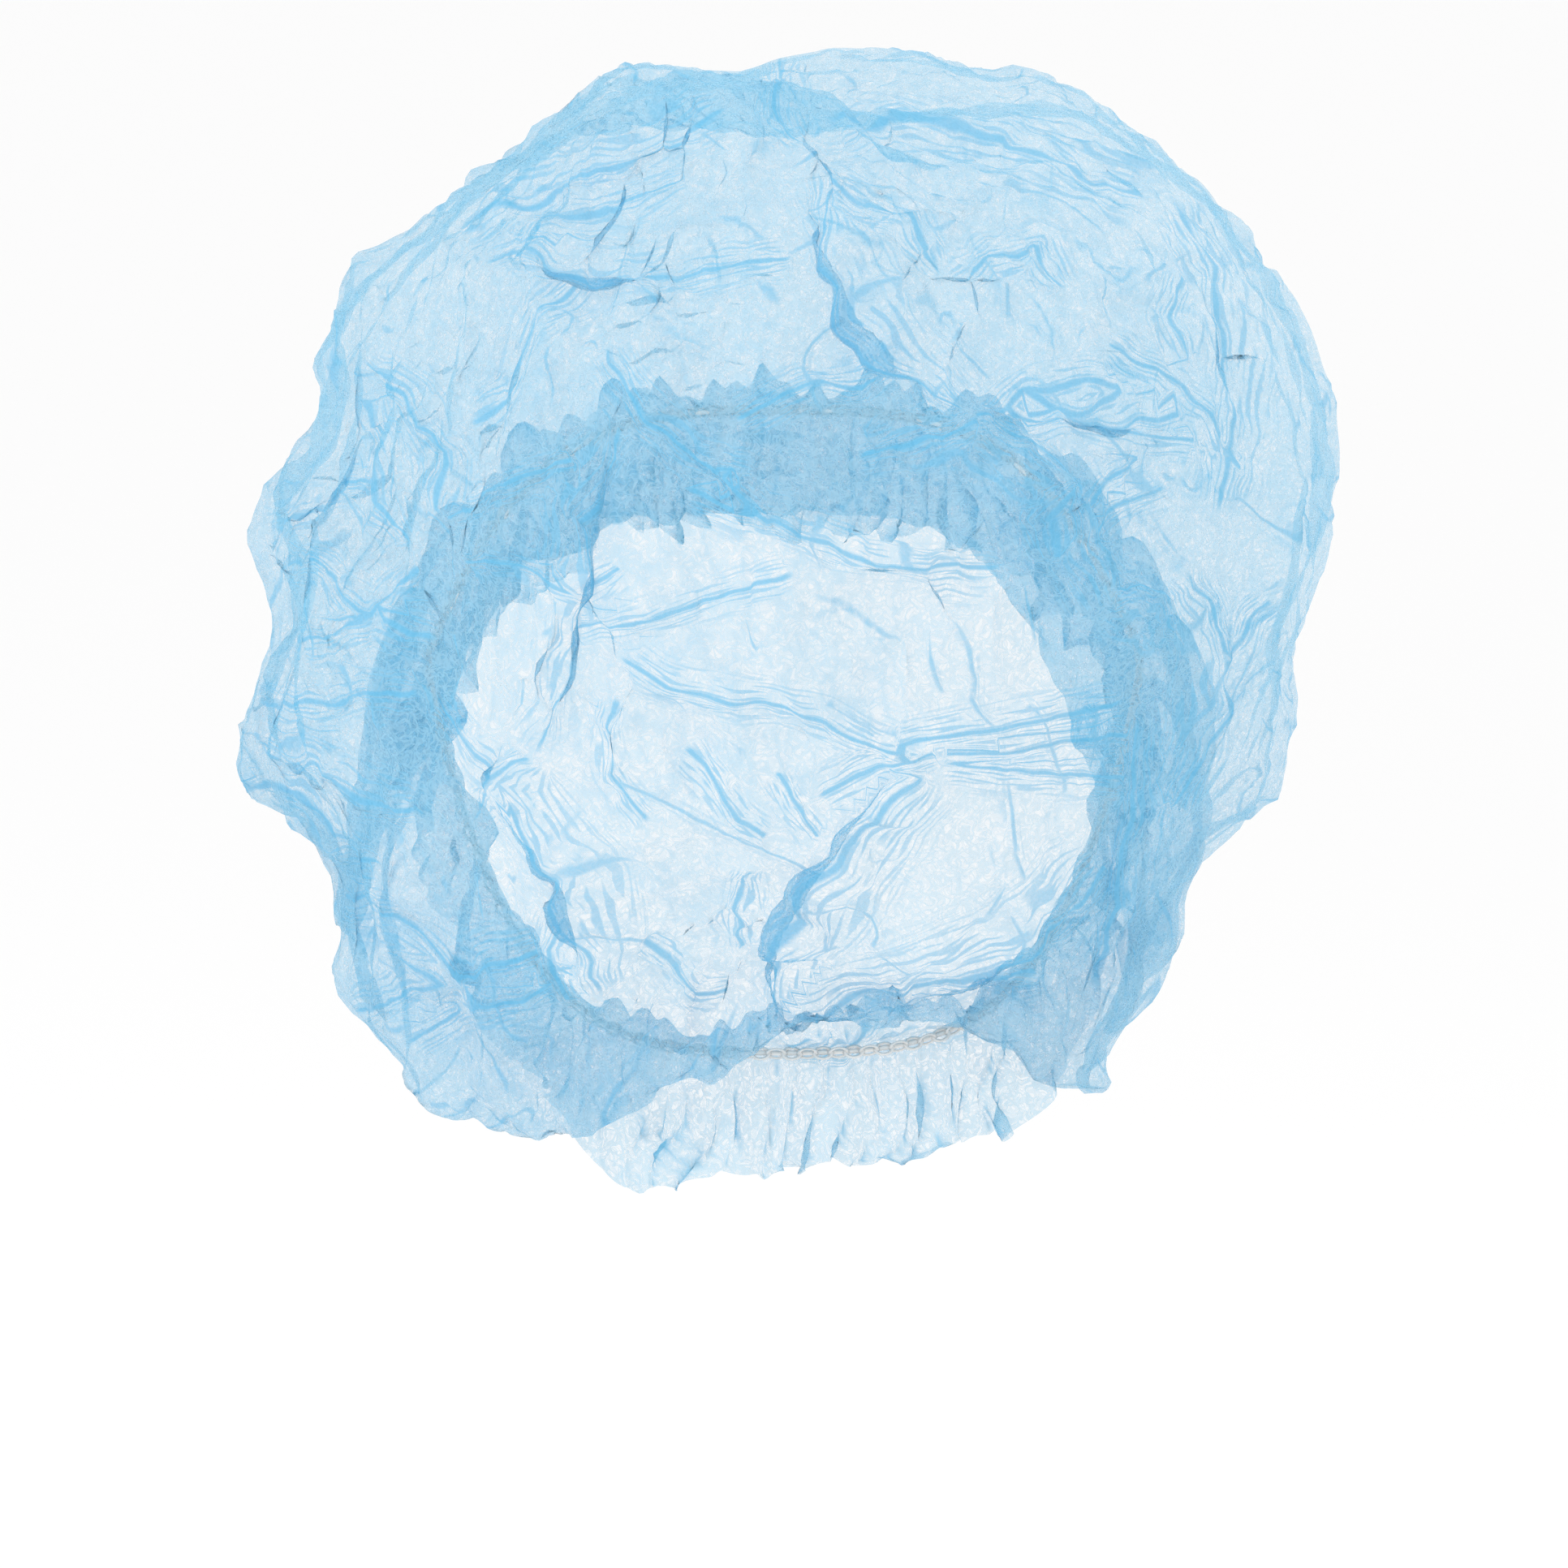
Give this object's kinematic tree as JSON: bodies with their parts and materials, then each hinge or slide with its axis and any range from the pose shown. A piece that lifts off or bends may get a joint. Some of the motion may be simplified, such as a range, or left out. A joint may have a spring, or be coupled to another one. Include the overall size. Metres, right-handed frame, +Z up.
{
  "type": "disposable hairnet",
  "caption": "Disposable bouffant hair cap of thin pale blue non-woven cloth, gathered on an elastic cord, in the puffed form it has on a head.",
  "frame": {"origin": "on the inside of the cloth at the middle of the crown's dent, where the top of the head carries the cap", "axes": "+Z up, +Y to the front of the head, +X to the right of somebody who looks at the nape"},
  "size_m": [0.23, 0.2374, 0.2236],
  "materials": {
    "spunbond_cloth": "matt, translucent web of bonded fibres",
    "elastic": "matt thread-covered elastic"
  },
  "bodies": {
    "root": {"bouffant_cloth": "spunbond_cloth", "elastic_cord": "elastic"}
  },
  "joints": []
}
